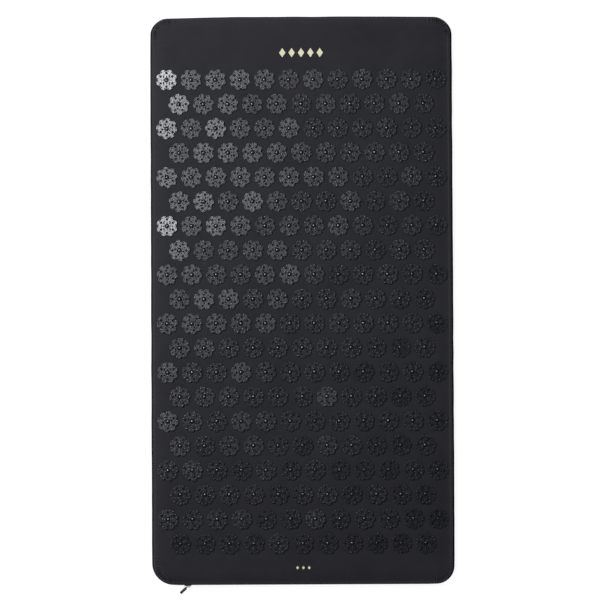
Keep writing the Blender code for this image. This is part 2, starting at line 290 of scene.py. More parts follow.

# %% [markdown]
# ## Printed canvas
#
# The cover's face is the same canvas with a small gold ornament printed at each end: a row of plain
# lozenges. Ink soaks into cloth, so it is drawn in the canvas finish itself and not laid on as a piece,
# and the weave runs through it. A lozenge is where the distances across and along, each as a share of
# its half size, add up to less than one, and wrapping the distance across repeats it. The face also
# carries a painted highlight: a value from zero on the flat to one on the rib, and part way up over the
# last centimetres of the rim, by which a lighter grey is mixed into the cloth.

# %% Printed canvas
def lozenge_row(tree, place, middle_y, count, pitch, half_across, half_along):
    """One where a row of lozenges is printed and zero elsewhere."""
    at = add_node(tree, "SeparateXYZ", {"Vector": place})
    shift = pitch / 2 * ((count + 1) % 2)
    moved = add_node(tree, "Math", {0: at.outputs["X"], 1: shift}, operation="ADD")
    across = add_node(tree, "Math", {0: moved, 1: pitch / 2, 2: -pitch / 2}, operation="WRAP")
    along = add_node(tree, "Math", {0: at.outputs["Y"], 1: middle_y}, operation="SUBTRACT")
    shares = []
    for offset, half in ((across, half_across), (along, half_along)):
        distance = add_node(tree, "Math", {0: offset}, operation="ABSOLUTE")
        shares.append(add_node(tree, "Math", {0: distance, 1: half}, operation="DIVIDE"))
    total = add_node(tree, "Math", {0: shares[0], 1: shares[1]}, operation="ADD")
    inside = add_node(tree, "Math", {0: total, 1: 1.0}, operation="LESS_THAN")
    from_middle = add_node(tree, "Math", {0: at.outputs["X"]}, operation="ABSOLUTE")
    in_row = add_node(tree, "Math", {0: from_middle, 1: count * pitch / 2}, operation="LESS_THAN")
    return add_node(tree, "Math", {0: inside, 1: in_row}, operation="MULTIPLY")


head_print_y = half_length - 52 * MM
foot_print_y = -half_length + 25 * MM
highlight_lift = 0.55

printed_canvas, tree, shader, place = start_material("charcoal_canvas_with_gold_print")
head_print = lozenge_row(tree, place, head_print_y, 5, 13 * MM, 4.4 * MM, 6.5 * MM)
foot_print = lozenge_row(tree, place, foot_print_y, 3, 8 * MM, 2.0 * MM, 2.4 * MM)
ink = add_node(tree, "Math", {0: head_print, 1: foot_print}, operation="MAXIMUM")
cloth_dye = dye_drift(tree, place, "#1f1e23", "#252429")
gold_ink = dye_drift(tree, place, "#ddd2b2", "#e9dfc2")
inked = add_node(tree, "Mix", {"Factor": ink, "A": cloth_dye, "B": gold_ink}, data_type="RGBA")
# Painted highlight: a lighter grey is mixed into the cloth by the value that the face's verts carry,
# strongest on the rib.
highlight_share = add_node(tree, "Attribute", attribute_name="rim_highlight").outputs["Fac"]
lightening = add_node(tree, "Math", {0: highlight_share, 1: highlight_lift}, operation="MULTIPLY")
highlighted_cloth = add_node(
    tree, "Mix", {"Factor": lightening, "A": inked, "B": linear("#3d3c41")}, data_type="RGBA")
canvas_surface(tree, shader, place, highlighted_cloth, 0.15, 0.06)
print("printed lozenges at", round(head_print_y, 4), "and", round(foot_print_y, 4))

# %% [markdown]
# ## Disc plastic
#
# The discs are injection-moulded ABS, black all through, with the satin that a finely eroded mould
# leaves. Plastic has no colour of its own in its gloss: it only mirrors a small share of what is in front
# of it. An IOR of 1.54, as usual for ABS, gives a twenty-second, and matching the mat's discs took 1.66,
# a sixteenth. Roughness matters more than colour here: about 0.28 spreads the lamp over a few degrees,
# so a disc shines as a whole, and more or less by how it leans. The relief is a fine grain over the faint
# sink marks that thin plastic gets where it shrinks behind a point or a hole.

# %% Disc plastic
mould_grain = 0.35 * MM
grain_relief = 0.03 * MM
sink_mark = 2.6 * MM
sink_relief = 0.07 * MM
handled_patch = 25 * MM

disc_plastic, tree, shader, place = start_material("black_moulded_abs")
grain = add_node(tree, "TexNoise", {"Vector": place, "Scale": 1 / mould_grain, "Detail": 2.0})
sinks = add_node(tree, "TexNoise", {"Vector": place, "Scale": 1 / sink_mark, "Detail": 1.0})
handling = add_node(tree, "TexNoise", {"Vector": place, "Scale": 1 / handled_patch, "Detail": 2.0})
gloss = add_node(
    tree, "MapRange",
    {"Value": handling, "From Min": 0.3, "From Max": 0.7, "To Min": 0.26, "To Max": 0.31})
uneven = add_node(tree, "Bump", {"Height": sinks, "Distance": sink_relief, "Strength": 1.0})
relief = add_node(
    tree, "Bump", {"Height": grain, "Distance": grain_relief, "Strength": 0.4, "Normal": uneven})
fill(tree, shader, {"Base Color": linear("#0f1216"), "IOR": 1.66, "Roughness": gloss, "Normal": relief})
print("disc plastic grain", mould_grain * 1000, "mm")

# %% [markdown]
# ## Foam, tape, coil, metal, grip and thread
#
# The smaller finishes follow the same steps. Foam is open-cell polyurethane, so its relief is a field of
# round cells about a millimetre wide. Zip tape is woven polyester, finer than the canvas. The coil is
# drawn nylon wire. The slider and stops are zinc castings with a dark plating, and the pull's grip is
# moulded plastic, softer and duller than the discs. Thread is polyester, twisted, with a slight shine.

# %% Small finishes
foam_cell = 1.2 * MM
foam_relief = 0.4 * MM
tape_thread_spacing = 0.4 * MM
tape_relief = 0.08 * MM
wire_streak = 0.8 * MM
rubbed_patch = 1.5 * MM
dust_patch = 2.0 * MM


def speckled(tree, place, patch, detail, dark, light):
    """Soft patches of one size, and two close shades that are mixed by them."""
    patches = add_node(tree, "TexNoise", {"Vector": place, "Scale": 1 / patch, "Detail": detail})
    shade = add_node(
        tree, "Mix", {"Factor": patches, "A": linear(dark), "B": linear(light)}, data_type="RGBA")
    return patches, shade


foam_finish, tree, shader, place = start_material("grey_polyurethane_foam")
cells = add_node(tree, "TexVoronoi", {"Vector": place, "Scale": 1 / foam_cell})
shade = add_node(
    tree, "Mix", {"Factor": cells, "A": linear("#5c5c60"), "B": linear("#85858a")}, data_type="RGBA")
relief = add_node(tree, "Bump", {"Height": cells, "Distance": foam_relief, "Strength": 0.7})
fill(tree, shader, {"Base Color": shade, "Roughness": 0.95, "Normal": relief})

tape_finish, tree, shader, place = start_material("woven_polyester_tape")
upright = add_node(tree, "Mapping", {"Vector": place, "Rotation": (pi / 2, 0, pi / 4)})
weave = weave_height(tree, upright.outputs["Vector"], tape_thread_spacing)
relief = add_node(tree, "Bump", {"Height": weave, "Distance": tape_relief, "Strength": 0.6})
shade = dye_drift(tree, place, "#1c1c1f", "#242428")
fill(tree, shader, {"Base Color": shade, "Roughness": 0.75, "Normal": relief})

coil_finish, tree, shader, place = start_material("drawn_nylon_wire")
shade = speckled(tree, place, wire_streak, 2.0, "#161618", "#232326")[1]
fill(tree, shader, {"Base Color": shade, "Roughness": 0.38, "IOR": 1.53})

zinc_finish, tree, shader, place = start_material("dark_plated_zinc")
rubbed, shade = speckled(tree, place, rubbed_patch, 4.0, "#242427", "#3c3c40")
polish = add_node(
    tree, "MapRange",
    {"Value": rubbed, "From Min": 0.3, "From Max": 0.7, "To Min": 0.25, "To Max": 0.45})
fill(tree, shader, {"Base Color": shade, "Metallic": 1.0, "Roughness": polish})

grip_finish, tree, shader, place = start_material("moulded_grip_plastic")
shade = speckled(tree, place, dust_patch, 3.0, "#131315", "#1d1d20")[1]
fill(tree, shader, {"Base Color": shade, "Roughness": 0.55})

thread_finish, tree, shader, place = start_material("polyester_thread")
shade = dye_drift(tree, place, "#29292d", "#3a3a3f")
fill(tree, shader, {"Base Color": shade, "Roughness": 0.6, "Sheen Weight": 0.2})
print("materials:", len(bpy.data.materials))

# %% [markdown]
# ## Working by hand
#
# The pieces are made with the same operators that the menus of the program call. An operator acts on
# whatever is selected, so these helpers make sure that only the wanted piece, or the wanted verts, edges
# or faces of it, are selected first. The last one names a finished piece, ties it to the body it moves
# with, and hides the nodes of the frame that it stands for.

# %% Working helpers
def only(piece):
    """Leave edit mode, and make one piece the only selected one and the active one."""
    if bpy.context.mode != "OBJECT":
        bpy.ops.object.mode_set(mode="OBJECT")
    bpy.ops.object.select_all(action="DESELECT")
    piece.select_set(True)
    bpy.context.view_layer.objects.active = piece


def edit(piece):
    """Open one piece in edit mode."""
    only(piece)
    bpy.ops.object.mode_set(mode="EDIT")


def pick(kind, test):
    """In edit mode, select only the verts, edges or faces that pass a test."""
    bpy.ops.mesh.select_mode(type=kind)
    bpy.ops.mesh.select_all(action="DESELECT")
    edited = bmesh.from_edit_mesh(bpy.context.edit_object.data)
    for part in {"VERT": edited.verts, "EDGE": edited.edges, "FACE": edited.faces}[kind]:
        if test(part):
            part.select_set(True)
    bmesh.update_edit_mesh(bpy.context.edit_object.data)


def pick_open_rim():
    """In edit mode, select the edges where a sheet ends."""
    bpy.ops.mesh.select_mode(type="EDGE")
    bpy.ops.mesh.select_all(action="DESELECT")
    bpy.ops.mesh.select_non_manifold()


def middle(part):
    """The middle of an edge's or a face's verts."""
    return sum((vert.co for vert in part.verts), Vector()) / len(part.verts)


def longer_than(reach, axis):
    """A test for edges that run further than a reach along an axis, 0 for X, 1 for Y or 2 for Z."""
    return lambda edge: abs(edge.verts[0].co[axis] - edge.verts[1].co[axis]) > reach


def apply_place(piece):
    """Put a piece's place, turn and size into its mesh."""
    only(piece)
    bpy.ops.object.transform_apply(location=True, rotation=True, scale=True)


def modify(piece, kind, **settings):
    """Add a modifier with its settings and apply it."""
    only(piece)
    change = piece.modifiers.new(kind.lower(), kind)
    for name, value in settings.items():
        setattr(change, name, value)
    bpy.ops.object.modifier_apply(modifier=change.name)


def round_edges(piece, width, angle):
    """Bevel the edges of a piece that turn by more than an angle."""
    modify(piece, "BEVEL", width=width, segments=2, limit_method="ANGLE", angle_limit=radians(angle))


def repeat(piece, count, step):
    """Repeat a piece in a row along X."""
    modify(
        piece, "ARRAY", count=count, use_relative_offset=False, use_constant_offset=True,
        constant_offset_displace=(step, 0, 0))


def copy_of(piece):
    """A copy of a piece, with its own mesh."""
    copy = piece.copy()
    copy.data = piece.data.copy()
    bpy.context.scene.collection.objects.link(copy)
    return copy


def finish_piece(piece, name, material, body="mat", nodes=(), smooth_angle=40):
    """Name a finished piece, apply its place, give it its finish and tie it to the frame."""
    apply_place(piece)
    bpy.ops.object.shade_smooth_by_angle(angle=radians(smooth_angle))
    piece.name = name
    piece.data.name = name
    piece.data.materials.clear()
    piece.data.materials.append(material)
    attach(piece, body)
    if nodes:
        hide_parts(*nodes)
    print(f"{name}: {len(piece.data.polygons)} faces")


for node in frame["nodes"].values():
    node.select_set(False)
print("nothing is selected:", not bpy.context.selected_objects)

# %% [markdown]
# ## The mat's outline
#
# Seen from above the mat is a long rectangle with round corners, and the sewn cover pulls its corners in
# a little further than the foam does. A grid of squares turns into that shape in two steps: squares near
# a corner are wrapped onto a quarter disc, and the last centimetres before a corner bend inwards. The
# direction straight out of the outline is needed as well, because the rim grows along it.

# %% Outline
head_left_bow = 2.8 * MM
head_right_bow = 1.6 * MM
foot_bow = 1.8 * MM
side_bow = 0.9 * MM
head_bow_start = 60 * MM
foot_bow_start = 120 * MM
side_bow_start = 320 * MM


def corner_radius(x, y):
    """The radius of the corner that is nearest to a point."""
    if y > 0:
        return head_left_corner_radius if x < 0 else head_right_corner_radius
    return foot_left_corner_radius if x < 0 else foot_right_corner_radius


def beyond_corner(x, y):
    """How far a point lies across and along from the middle of its corner's bend, or zero before it."""
    radius = corner_radius(x, y)
    across = max(abs(x) - (half_width - radius), 0.0)
    along = max(abs(y) - (half_length - radius), 0.0)
    return across, along


def outward(x, y):
    """The direction straight out of the outline at a point near it."""
    across, along = beyond_corner(x, y)
    length = hypot(across, along)
    if not length:
        return 0.0, 0.0
    return (across if x > 0 else -across) / length, (along if y > 0 else -along) / length


def wrap_corner(x, y):
    """Move a point of a square grid so that the grid's corner becomes a quarter disc."""
    across, along = beyond_corner(x, y)
    if not across or not along:
        return x, y
    reach = max(across, along)
    turn = min(across, along) / reach * pi / 4
    longer, shorter = reach * cos(turn), reach * sin(turn)
    new_across, new_along = (longer, shorter) if across >= along else (shorter, longer)
    return (
        x + (new_across - across) * (1 if x > 0 else -1),
        y + (new_along - along) * (1 if y > 0 else -1),
    )


def bow(x, y):
    """How far the cover's sides and ends bend inwards towards the corners, across and along."""
    end_start = head_bow_start if y > 0 else foot_bow_start
    end_bow = foot_bow
    if y > 0:
        end_bow = head_left_bow if x < 0 else head_right_bow
    end_share = max(abs(x) - end_start, 0.0) / (half_width - end_start)
    side_share = max(abs(y) - side_bow_start, 0.0) / (half_length - side_bow_start)
    return (
        -side_bow * side_share ** 2 * x / half_width,
        -end_bow * end_share ** 2 * y / half_length,
    )


print("outward at the right side:", outward(half_width, 0))

# %% [markdown]
# ## The cover's panels
#
# A boxed cushion is sewn from two panels and a side band. The seam between them stands up as a slim rib
# near the edge, because the cloth's folded-in allowances fill it, and outside the rib the cloth falls to
# the seam. A panel is a grid, wrapped at the corners. Its open rim is cut finely at the corners, then
# extruded outwards ring by ring along the rib's profile. The profile lists, for each ring, the distance
# from the mat's widest line, the height over the face, and the height at the foot end, where the cloth
# slopes down to the zip.

# %% Panel from a grid
rim_width = 12 * MM
rim_profile_mm = (
    (9.2, 0.0, 0.0), (7.9, -0.05, -0.05), (7.0, 0.03, -0.12), (6.3, 0.22, -0.22), (5.6, 0.34, -0.35),
    (4.9, 0.24, -0.52), (4.3, -0.14, -0.74), (3.7, -0.75, -1.05), (3.2, -1.60, -1.60))
rim_profile = [[value * MM for value in ring] for ring in rim_profile_mm]
seam_inset, seam_rise = rim_profile[-1][:2]
head_seam_reach = 1.3 * MM
zip_seam_reach = 1.4 * MM
foot_slope_start = 15 * MM
foot_slope_fall = 4.4 * MM
fine_run = 26 * MM
fine_cuts = 7


def from_rim(x, y):
    """The distance from a point inside the outline to the outline."""
    across, along = beyond_corner(x, y)
    if across and along:
        return corner_radius(x, y) - hypot(across, along)
    return min(half_width - abs(x), half_length - abs(y))


def near_corner(x, y):
    """Whether a point near the rim lies in a corner's bend or a short way beyond it."""
    radius = corner_radius(x, y)
    return min(abs(x) - half_width, abs(y) - half_length) + radius > -fine_run


def rolled_panel(columns, rows):
    """A panel with its rib and its fall to the seam, facing up, with its flat part at zero height."""
    bpy.ops.mesh.primitive_grid_add(x_subdivisions=columns, y_subdivisions=rows, size=2)
    panel = bpy.context.object
    panel.scale = (half_width - rim_width, half_length - rim_width, 1)
    apply_place(panel)
    for vert in panel.data.vertices:
        vert.co.x, vert.co.y = wrap_corner(vert.co.x, vert.co.y)
    edit(panel)
    pick("EDGE", lambda edge: edge.is_boundary and near_corner(*middle(edge).xy))
    bpy.ops.mesh.subdivide(number_cuts=fine_cuts)
    edited = bmesh.from_edit_mesh(panel.data)
    for vert in edited.verts:
        if vert.is_boundary:
            way = outward(*vert.co.xy)
            short = from_rim(*vert.co.xy) - rim_width
            vert.co += Vector((way[0] * short, way[1] * short, 0))
    bmesh.update_edit_mesh(panel.data)
    pick_open_rim()
    before = (rim_width, 0.0, 0.0)
    for after in rim_profile:
        bpy.ops.mesh.extrude_edges_move()
        edited = bmesh.from_edit_mesh(panel.data)
        for vert in edited.verts:
            if vert.select:
                way = outward(*vert.co.xy)
                out, rise, foot_rise = before[0] - after[0], after[1] - before[1], after[2] - before[2]
                foot_share = max(-way[1], 0.0) ** 2
                vert.co += Vector((way[0] * out, way[1] * out, rise + (foot_rise - rise) * foot_share))
        bmesh.update_edit_mesh(panel.data)
        before = after
    bpy.ops.object.mode_set(mode="OBJECT")
    return panel


def seam_reach(way_y):
    """How much further out the seam lies at the two ends than along the sides."""
    return way_y ** 2 * (head_seam_reach if way_y > 0 else zip_seam_reach)


def foot_fall(y):
    """How far the cloth has come down towards the zip."""
    return foot_slope_fall * max(1 - (half_length + y) / foot_slope_start, 0.0) ** 1.5


def settle(piece):
    """Bend a cover piece inwards towards the corners and down to the zip, as the sewn cover is."""
    for vert in piece.data.vertices:
        x, y = vert.co.xy
        way = outward(x, y)
        vert.co.z -= foot_fall(y) * (1 if vert.co.z > side_middle_z else -1)
        rim_share = min((rim_width - from_rim(x, y)) / (rim_width - seam_inset), 1.0)
        out = seam_reach(way[1]) * max(rim_share, 0.0)
        vert.co.x += way[0] * out
        vert.co.y += way[1] * out
        across, along = bow(x, y)
        vert.co.x += across
        vert.co.y += along


print("rings of the rim:", len(rim_profile))

# %% [markdown]
# ## Cloth on the face
#
# A dead-level sheet would look like metal. The points of the face are moved a fraction of a millimetre:
# slow waves in the foam, a shallow seat under every disc, and a rib that wanders a little. Round a corner
# the cloth is eased into a shorter seam, so it stands in close folds across the rib. The folds come from
# a wave along the bend, whose depth changes from fold to fold. All of this drifts with a smooth noise,
# of which every use has a slice of its own.

# %% Cloth on the face
wave_length = 85 * MM
wave_height = 0.45 * MM
wave_slice = 0.3
ripple_length = 32 * MM
ripple_height = 0.12 * MM
ripple_slice = 7.1
wave_fade = 18 * MM
seat_depth = 0.25 * MM
seat_width = 19 * MM
sway_length = 26 * MM
sway_reach = 0.45 * MM
sway_slice = 4.4
shoulder_width = 24 * MM
left_shoulder_fall = 3.0 * MM
right_shoulder_fall = 1.7 * MM
fold_pitch = 4.0 * MM
fold_depth = 2.8 * MM
fold_middle = 6.6 * MM
fold_half_width = 4.0 * MM
fold_run = 30 * MM
fold_wander = 0.8
fold_wander_length = 9 * MM
mean_fold = 0.7
fold_change = 1.4
fold_change_length = 6 * MM
rib_inset = 5.6 * MM
rib_half_width = 1.6 * MM
# Painted highlight along the rim: how far in from the edge it reaches, and its share there against the rib.
highlight_width = 16 * MM
edge_highlight = 0.5


def disc_place(row, place):
    """Where a disc stands: rows of twelve and eleven take turns from the head end."""
    in_row = long_row_count - row % 2
    return (place - (in_row - 1) / 2) * disc_pitch, half_length - head_to_first_row - row * row_pitch


def to_nearest_disc(x, y):
    """The distance from a point to the middle of the nearest disc."""
    nearest = seat_width
    first = int((half_length - head_to_first_row - y) / row_pitch)
    for row in (first, first + 1):
        if 0 <= row < row_count:
            in_row = long_row_count - row % 2
            place = round(x / disc_pitch + (in_row - 1) / 2)
            disc_x, disc_y = disc_place(row, min(max(place, 0), in_row - 1))
            nearest = min(nearest, hypot(x - disc_x, y - disc_y))
    return nearest


def drift(x, y, length, noise_slice):
    """Smooth noise over the mat, in swells of about one length."""
    return noise.noise(Vector((x / length, y / length, noise_slice)))


def face_wave(x, y):
    """How far the cloth stands above or below the level of the face."""
    fade = min(max((from_rim(x, y) - seam_inset) / wave_fade, 0.0), 1.0)
    slow = drift(x, y, wave_length, wave_slice) * wave_height
    quick = drift(x, y, ripple_length, ripple_slice) * ripple_height
    return (slow + quick) * fade


def shoulder(x):
    """How far the cloth has come down towards the long sides, where the foam gives way."""
    fall = left_shoulder_fall if x < 0 else right_shoulder_fall
    return fall * max(1 - (half_width - abs(x)) / shoulder_width, 0.0) ** 1.6


def corner_fold(x, y):
    """The rise and fall of the folds round a corner, which die away along the rim and over the face."""
    radius = corner_radius(x, y)
    across, along = abs(x) - half_width + radius, abs(y) - half_length + radius
    turn = atan2(max(along, 0.0), max(across, 0.0)) if max(across, along) > 0 else 0.0
    beyond_bend = max(-min(across, along), 0.0)
    round_rim = radius * turn + (beyond_bend if along > across else -beyond_bend)
    inset = from_rim(x, y)
    on_rib = max(1 - abs(inset - fold_middle) / fold_half_width, 0.0)
    near_bend = max(1 - beyond_bend / fold_run, 0.0) ** 2
    wander = noise.noise(Vector((round_rim / fold_wander_length, radius * 100, inset * 60)))
    wave = 0.5 * sin(2 * pi * (round_rim / fold_pitch + fold_wander * wander))
    change = noise.noise(Vector((round_rim / fold_change_length, radius * 300, 2.0)))
    return fold_depth * on_rib * near_bend * wave * (mean_fold + fold_change * change)


top = rolled_panel(columns=116, rows=218)
# Painted highlight: every vert of the face carries a value, one on the rib and rising towards the rim, by
# which the face's finish mixes in a lighter grey.
rim_highlight = top.data.attributes.new("rim_highlight", "FLOAT", "POINT")
hem = top.data.attributes.new("hem", "FLOAT", "POINT")
for vert in top.data.vertices:
    x, y = vert.co.xy
    inset = from_rim(x, y)
    on_ridge = max(1 - abs(inset - rib_inset) / rib_half_width, 0.0)
    near_edge = min(max((highlight_width - inset) / highlight_width, 0.0), 1.0)
    rim_highlight.data[vert.index].value = max(on_ridge, edge_highlight * near_edge)
    seat = seat_depth * (1 - min(to_nearest_disc(x, y) / seat_width, 1.0)) ** 0.5
    way = outward(x, y)
    sway = drift(x, y, sway_length, sway_slice) * sway_reach * max(1 - inset / rim_width, 0.0)
    vert.co.z += face_z + face_wave(x, y) - seat - shoulder(x) - corner_fold(x, y)
    vert.co.x += way[0] * sway
    vert.co.y += way[1] * sway
    hem.data[vert.index].value = foot_fall(vert.co.y) - seam_rise + touch_gap
settle(top)
print("top panel verts:", len(top.data.vertices))

# %% [markdown]
# ## Side band
#
# The side band is sewn to the rim of the face, so it starts as a copy of that rim. The copy is extruded
# down in steps to the rim of the underside, out to the mat's widest line and back in. How high that lower
# rim lies, the hem, was noted on every vert of the face, and an extruded vert keeps such a note. At the
# foot end a stretch of the band is cut away between two straight cuts: the zip goes there.

# %% Side band
belly_steps = 7
head_flattening = 0.35
foot_edge_depth = 6 * MM
strip_low, strip_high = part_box("zip_strip_upper")
zip_end_x = strip_high[0] + touch_gap


def at_foot_edge(face):
    """Whether a face of the band lies at the mat's foot edge."""
    return middle(face).y < -half_length + foot_edge_depth


edit(top)
pick_open_rim()
bpy.ops.mesh.duplicate()
bpy.ops.mesh.separate(type="SELECTED")
bpy.ops.object.mode_set(mode="OBJECT")
band = next(piece for piece in bpy.context.selected_objects if piece is not top)
for vert in band.data.vertices:
    vert.co.z -= touch_gap

edit(band)
bpy.ops.mesh.select_mode(type="EDGE")
bpy.ops.mesh.select_all(action="SELECT")
for step in range(belly_steps):
    bpy.ops.mesh.extrude_edges_move()
    out = sin((step + 1) / belly_steps * pi) - sin(step / belly_steps * pi)
    level = (belly_steps - step - 1) / (belly_steps - step)
    edited = bmesh.from_edit_mesh(band.data)
    hem_layer = edited.verts.layers.float["hem"]
    for vert in edited.verts:
        if vert.select:
            way = outward(*vert.co.xy)
            belly = (seam_inset - seam_reach(way[1])) * (1 - head_flattening * max(way[1], 0.0) ** 2)
            vert.co.x += way[0] * out * belly
            vert.co.y += way[1] * out * belly
            vert.co.z = vert[hem_layer] + (vert.co.z - vert[hem_layer]) * level
    bmesh.update_edit_mesh(band.data)
for cut_x in (-zip_end_x, zip_end_x):
    pick("FACE", at_foot_edge)
    bpy.ops.mesh.bisect(plane_co=(cut_x, 0, 0), plane_no=(1, 0, 0))
pick("FACE", lambda face: at_foot_edge(face) and abs(middle(face).x) < zip_end_x)
bpy.ops.mesh.delete(type="FACE")
bpy.ops.mesh.select_all(action="SELECT")
bpy.ops.mesh.normals_make_consistent(inside=False)
modify(band, "SOLIDIFY", thickness=fabric_thickness, offset=-1)
finish_piece(band, "cover_side_band", canvas, nodes=["side_band"], smooth_angle=60)

# %% [markdown]
# ## Face and underside
#
# The face gets its thickness and its printed finish. The underside is a second panel of the same cut,
# without waves, turned over: scaling its height by minus one does that, and its faces are flipped back
# to point outwards. The mat's weight presses its rib flat on the floor.

# %% Face and underside
modify(top, "SOLIDIFY", thickness=fabric_thickness, offset=-1)
finish_piece(
    top, "cover_face", printed_canvas, nodes=["cover_spiked_panel"], smooth_angle=60)

underside = rolled_panel(columns=30, rows=56)
edit(underside)
bpy.ops.mesh.select_all(action="SELECT")
bpy.ops.transform.resize(value=(1, 1, -1), center_override=(0, 0, 0))
bpy.ops.mesh.flip_normals()
bpy.ops.object.mode_set(mode="OBJECT")
settle(underside)
for vert in underside.data.vertices:
    vert.co.z = max(vert.co.z, 0.0)
modify(underside, "SOLIDIFY", thickness=fabric_thickness, offset=-1)
finish_piece(
    underside, "cover_underside", canvas, nodes=["cover_bottom_panel"], smooth_angle=60)

# %% [markdown]
# ## Foam core
#
# The foam never shows while the zip is shut, but it fills the cover. It is a block whose upright edges
# are rounded to the corners of the cover, and whose long edges are eased so that the panels can roll
# over them. Bevelling only the wanted edges of one cube does both. Cuts across it give it verts where
# the cloth comes down on it, and those verts follow the cloth.

# %% Foam core
foam_corner_radius = foot_left_corner_radius - 3 * MM
foam_ease = 5.5 * MM
foam_play = 0.8 * MM
shoulder_cuts = (22 * MM, 16 * MM, 11 * MM)
foot_cuts = (14 * MM, 11 * MM, 8 * MM)

foam_size = [high - low for low, high in zip(foam_low, foam_high)]
foam_middle = [(low + high) / 2 for low, high in zip(foam_low, foam_high)]
bpy.ops.mesh.primitive_cube_add(size=1, location=foam_middle)
foam = bpy.context.object
foam.scale = (foam_size[0] - 2 * foam_play, foam_size[1] - 2 * foam_play, foam_size[2])
apply_place(foam)
edit(foam)
pick("EDGE", longer_than(1 * MM, 2))
bpy.ops.mesh.bevel(offset=foam_corner_radius, segments=8, affect="EDGES")
pick("EDGE", lambda edge: abs(abs(middle(edge).z - foam_middle[2]) - foam_size[2] / 2) < 0.1 * MM)
bpy.ops.mesh.bevel(offset=foam_ease, segments=5, affect="EDGES")
cuts = [((side * (half_width - inset), 0, 0), (1, 0, 0)) for side in (-1, 1) for inset in shoulder_cuts]
cuts += [((0, inset - half_length, 0), (0, 1, 0)) for inset in foot_cuts]
for place, direction in cuts:
    bpy.ops.mesh.select_all(action="SELECT")
    bpy.ops.mesh.bisect(plane_co=place, plane_no=direction)
bpy.ops.object.mode_set(mode="OBJECT")
for vert in foam.data.vertices:
    upper = vert.co.z > foam_middle[2]
    fall = foot_fall(vert.co.y) + (shoulder(vert.co.x) if upper else 0.0)
    vert.co.z -= fall if upper else -fall
finish_piece(foam, "foam_slab", foam_finish, nodes=["foam_core"])

# %% [markdown]
# ## One disc
#
# A disc is the mat's working part: a round plate in the form of a flower, with eight petals, small
# holes, and two dozen points. It is modelled once. The plate starts as a circle. Its rim is notched
# between the petals: each vert is drawn in as far as a round petal reaches in its direction, the one at
# the notch furthest. The face is then inset and raised for a fine chamfer along the rim, and the rim is
# extruded down.

# %% Disc plate
petal_count = 8
petal_radius = 4.45 * MM
steps_per_petal = 12
step_count = petal_count * steps_per_petal
plate_top = 1.8 * MM
plate_foot = -1.0 * MM
chamfer = 0.22 * MM
disc_radius = disc_diameter / 2

bpy.ops.mesh.primitive_circle_add(
    vertices=step_count, radius=disc_radius, fill_type="NGON", location=(0, 0, 0))
disc = bpy.context.object
edit(disc)


def steps_from_notch(vert):
    """How many steps of the rim a vert stands from the nearest notch."""
    step = round(Vector((1, 0)).angle_signed(vert.co.xy) / (2 * pi) * step_count)
    return min(step % steps_per_petal, -step % steps_per_petal)


def petal_reach(steps):
    """How far a round petal reaches at some steps from its notch, as a share of the disc's radius."""
    off_middle = (0.5 - steps / steps_per_petal) * 2 * pi / petal_count
    petal_middle = disc_radius - petal_radius
    half_chord = (petal_radius ** 2 - (petal_middle * sin(off_middle)) ** 2) ** 0.5
    return (petal_middle * cos(off_middle) + half_chord) / disc_radius


for steps in range(steps_per_petal // 2):
    share = petal_reach(steps)
    pick("VERT", lambda vert, steps=steps: steps_from_notch(vert) == steps)
    bpy.ops.transform.resize(value=(share, share, 1), center_override=(0, 0, 0))
bpy.ops.mesh.select_mode(type="FACE")
bpy.ops.mesh.select_all(action="SELECT")
bpy.ops.mesh.inset(thickness=chamfer)
bpy.ops.transform.translate(value=(0, 0, chamfer))
pick_open_rim()
bpy.ops.mesh.extrude_edges_move()
bpy.ops.transform.translate(value=(0, 0, -(plate_top - plate_foot - chamfer)))
bpy.ops.mesh.edge_face_add()
bpy.ops.mesh.select_all(action="SELECT")
bpy.ops.mesh.normals_make_consistent(inside=False)
bpy.ops.transform.translate(value=(0, 0, plate_top - chamfer))
bpy.ops.object.mode_set(mode="OBJECT")
print("disc plate faces:", len(disc.data.polygons))

# %% [markdown]
# ## Holes and points
#
# The tool for the holes is a handful of cylinders and a ring joined into one mesh, and a Boolean takes
# them out of the plate: six wide holes, four narrow ones, and a round groove about the middle. A point is
# moulded with its plate, so it rises from a small flare. It is a cone whose flank is cut into rings, each
# moved to its height and radius, and the low boss in the middle is made in the same way. Two points stand
# on every petal and the others between the holes. A plate never cools quite flat: two opposite edges end
# up a hair higher than the other two.

# %% Disc holes
wide_holes = [(9.5 * MM, (share + 0.5) * pi / 3) for share in range(6)]
narrow_holes = [(6.0 * MM, (share + 0.5) * pi / 2) for share in range(4)]
wide_hole_radius = 1.8 * MM
narrow_hole_radius = 1.3 * MM
tool_length = 8 * MM
groove_radius = 2.65 * MM
groove_half_width = 0.85 * MM
plate_warp = 0.05 * MM


def polar(radius, angle, z):
    """A place on the disc, from its distance and direction from the middle."""
    return radius * cos(angle), radius * sin(angle), z


def joined(pieces, name):
    """Join pieces into the first of them."""
    only(pieces[0])
    for piece in pieces:
        piece.select_set(True)
    bpy.ops.object.join()
    pieces[0].name = name
    return pieces[0]


